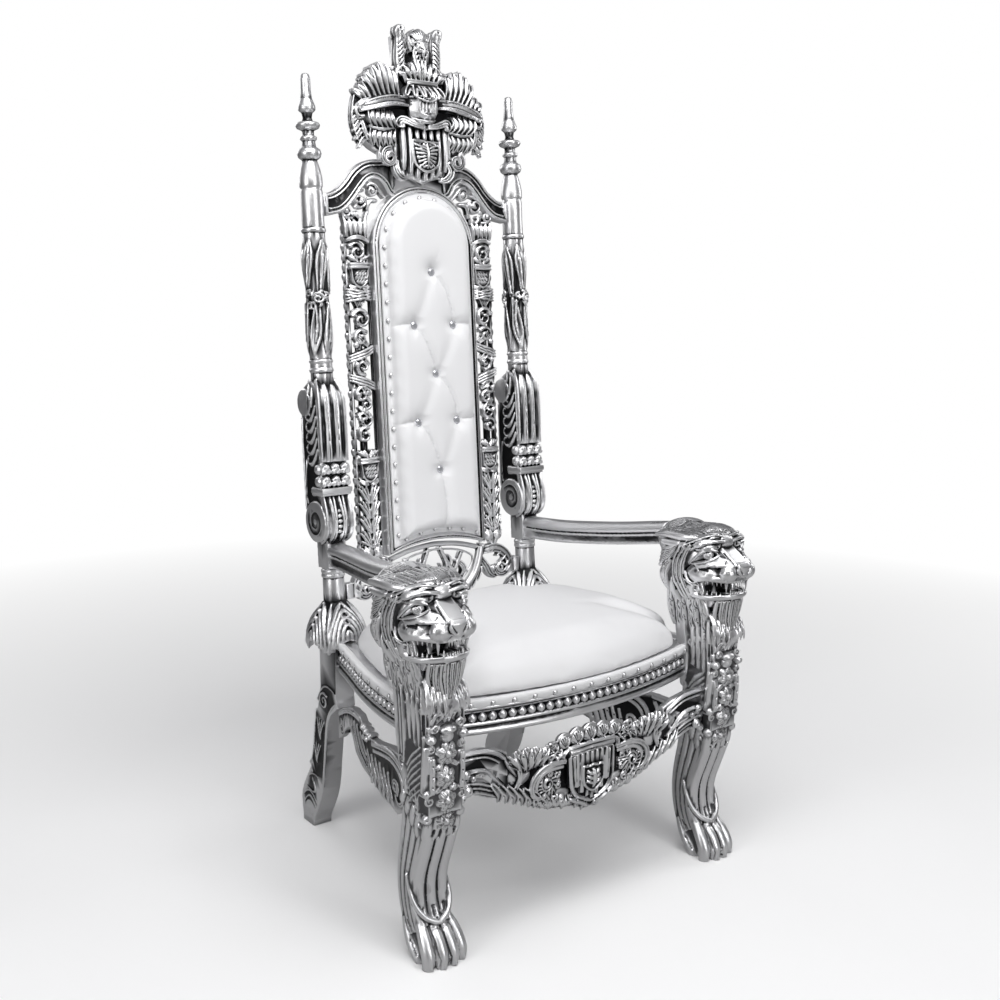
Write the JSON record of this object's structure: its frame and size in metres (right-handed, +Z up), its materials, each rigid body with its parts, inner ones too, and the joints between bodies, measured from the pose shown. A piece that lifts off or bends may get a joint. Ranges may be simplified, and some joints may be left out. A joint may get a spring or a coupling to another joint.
{
  "type": "throne",
  "caption": "Tall carved throne in silver leaf with lion-headed arms, paw feet, a domed white seat and an arched, button-tufted back.",
  "frame": {"origin": "on the floor, under the middle of the throne's outline", "axes": "+Z up, +X to the right seen from the front, and the front faces -Y"},
  "size_m": [0.8997, 0.7785, 1.7964],
  "materials": {
    "silver_leaf": "silver leaf over carved hardwood, glossy, dark in the recesses",
    "white_leatherette": "smooth white leatherette over foam, soft gloss",
    "crystal": "faceted clear glass on a silvered back"
  },
  "bodies": {
    "root": {"arm_left": "silver_leaf", "arm_right": "silver_leaf", "back_cushion": "white_leatherette", "back_frame": "silver_leaf", "back_panel": "white_leatherette", "back_post_left": "silver_leaf", "back_post_right": "silver_leaf", "button_1": "crystal", "button_2": "crystal", "button_3": "crystal", "button_4": "crystal", "button_5": "crystal", "button_6": "crystal", "button_7": "crystal", "crest_carving": "silver_leaf", "crest_rail": "silver_leaf", "fretwork_left": "silver_leaf", "fretwork_right": "silver_leaf", "front_apron": "silver_leaf", "front_leg_left": "silver_leaf", "front_leg_right": "silver_leaf", "lower_back_rail": "silver_leaf", "seat_cushion": "white_leatherette", "seat_rail_back": "silver_leaf", "seat_rail_front": "silver_leaf", "seat_rail_left": "silver_leaf", "seat_rail_right": "silver_leaf", "side_stretcher_left": "silver_leaf", "side_stretcher_right": "silver_leaf"}
  },
  "joints": []
}
